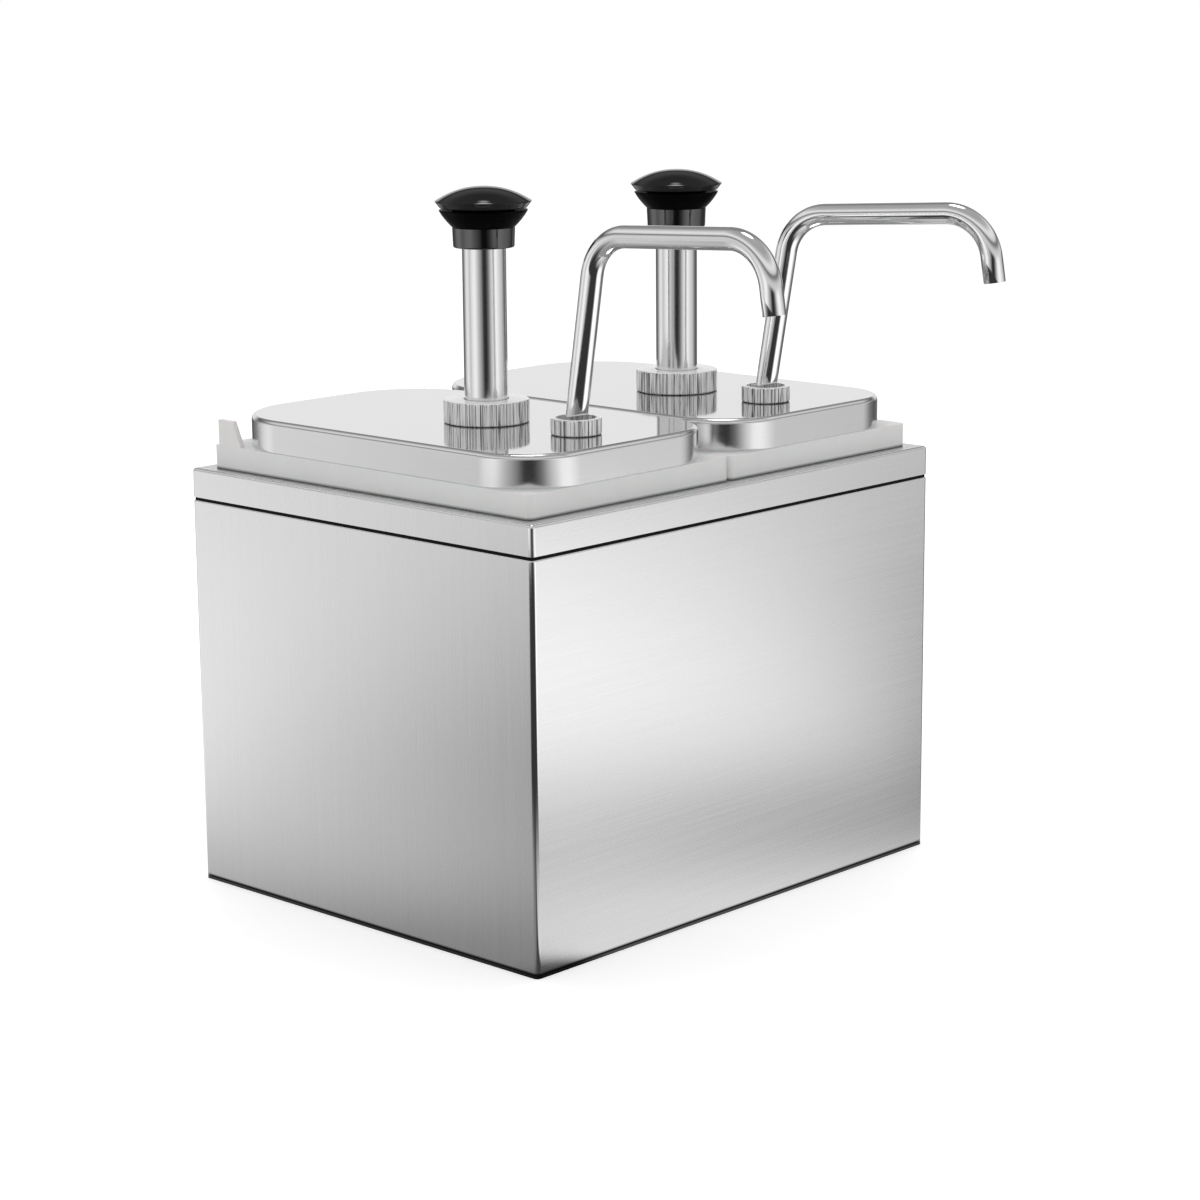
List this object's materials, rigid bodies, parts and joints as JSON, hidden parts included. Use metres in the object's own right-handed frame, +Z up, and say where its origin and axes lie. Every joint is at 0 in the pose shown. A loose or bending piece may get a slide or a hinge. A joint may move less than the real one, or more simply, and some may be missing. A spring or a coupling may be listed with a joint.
{
  "type": "condiment pump station",
  "caption": "Two lidded containers in a square steel housing, each with a push pump and a swan-neck spout for sauces.",
  "frame": {"origin": "centre of the housing's footprint, on the surface that it stands on", "axes": "+Z up; the spouts reach out towards -Y; the two containers stand side by side along X"},
  "size_m": [0.24, 0.2635, 0.2921],
  "materials": {
    "housing_steel": "brushed",
    "polished_steel": "polished top, satin sides",
    "nut_steel": "knurled",
    "tube_steel": "satin",
    "spout_steel": "polished",
    "ball_steel": "smooth",
    "container_plastic": "translucent white, fine satin",
    "inner_plastic": "smooth",
    "knob_black": "glossy black",
    "seal_rubber": "matt"
  },
  "bodies": {
    "housing": {"housing_shell": "housing_steel", "base_tray": "housing_steel", "top_frame": "housing_steel", "seam_gasket": "seal_rubber"},
    "left_container": {"left_jar": "container_plastic"},
    "left_pump": {"left_lid": "polished_steel", "left_pump_nut": "nut_steel", "left_pump_gasket": "seal_rubber", "left_pump_cylinder": "tube_steel", "left_plunger_bush": "inner_plastic", "left_valve_body": "tube_steel", "left_inlet_seat": "tube_steel", "left_riser_tube": "tube_steel", "left_spout_fitting": "nut_steel", "left_spout_seal": "seal_rubber", "left_spout_nut": "nut_steel", "left_return_spring": "ball_steel"},
    "left_plunger": {"left_plunger_tube": "tube_steel", "left_stop_ring": "tube_steel", "left_piston": "inner_plastic", "left_piston_seal": "seal_rubber", "left_knob_collar": "knob_black", "left_knob_cup": "knob_black", "left_knob_cap": "knob_black", "left_knob_stud": "ball_steel"},
    "left_swan_neck": {"left_spout": "spout_steel"},
    "left_lower_ball": {"left_inlet_ball": "ball_steel"},
    "left_upper_ball": {"left_outlet_ball": "ball_steel"},
    "right_container": {"right_jar": "container_plastic"},
    "right_pump": {"right_lid": "polished_steel", "right_pump_nut": "nut_steel", "right_pump_gasket": "seal_rubber", "right_pump_cylinder": "tube_steel", "right_plunger_bush": "inner_plastic", "right_valve_body": "tube_steel", "right_inlet_seat": "tube_steel", "right_riser_tube": "tube_steel", "right_spout_fitting": "nut_steel", "right_spout_seal": "seal_rubber", "right_spout_nut": "nut_steel", "right_return_spring": "ball_steel"},
    "right_plunger": {"right_plunger_tube": "tube_steel", "right_stop_ring": "tube_steel", "right_piston": "inner_plastic", "right_piston_seal": "seal_rubber", "right_knob_collar": "knob_black", "right_knob_cup": "knob_black", "right_knob_cap": "knob_black", "right_knob_stud": "ball_steel"},
    "right_swan_neck": {"right_spout": "spout_steel"},
    "right_lower_ball": {"right_inlet_ball": "ball_steel"},
    "right_upper_ball": {"right_outlet_ball": "ball_steel"}
  },
  "joints": [
    {"name": "left_container_lift", "type": "slide", "parent": "housing", "child": "left_container", "axis": [0, 0, 1], "range_m": [0, 0.18]},
    {"name": "left_pump_lift", "type": "slide", "parent": "left_container", "child": "left_pump", "axis": [0, 0, 1], "range_m": [0, 0.18]},
    {"name": "left_plunger_press", "type": "slide", "parent": "left_pump", "child": "left_plunger", "axis": [0, 0, -1], "range_m": [0, 0.052], "stiffness_N_per_m": 180, "springref_m": -0.05, "deforming": ["left_return_spring"]},
    {"name": "left_spout_swivel", "type": "hinge", "parent": "left_pump", "child": "left_swan_neck", "pos_m": [-0.05705, -0.061, 0.2], "axis": [0, 0, 1], "range_deg": [-60, 30]},
    {"name": "left_inlet_ball_lift", "type": "slide", "parent": "left_pump", "child": "left_lower_ball", "axis": [0, 0, 1], "range_m": [0, 0.0025]},
    {"name": "left_outlet_ball_lift", "type": "slide", "parent": "left_pump", "child": "left_upper_ball", "axis": [0, 0, 1], "range_m": [0, 0.003]},
    {"name": "right_container_lift", "type": "slide", "parent": "housing", "child": "right_container", "axis": [0, 0, 1], "range_m": [0, 0.18]},
    {"name": "right_pump_lift", "type": "slide", "parent": "right_container", "child": "right_pump", "axis": [0, 0, 1], "range_m": [0, 0.18]},
    {"name": "right_plunger_press", "type": "slide", "parent": "right_pump", "child": "right_plunger", "axis": [0, 0, -1], "range_m": [0, 0.052], "stiffness_N_per_m": 180, "springref_m": -0.05, "deforming": ["right_return_spring"]},
    {"name": "right_spout_swivel", "type": "hinge", "parent": "right_pump", "child": "right_swan_neck", "pos_m": [0.05705, -0.061, 0.2], "axis": [0, 0, 1], "range_deg": [-45, 45]},
    {"name": "right_inlet_ball_lift", "type": "slide", "parent": "right_pump", "child": "right_lower_ball", "axis": [0, 0, 1], "range_m": [0, 0.0025]},
    {"name": "right_outlet_ball_lift", "type": "slide", "parent": "right_pump", "child": "right_upper_ball", "axis": [0, 0, 1], "range_m": [0, 0.003]}
  ]
}
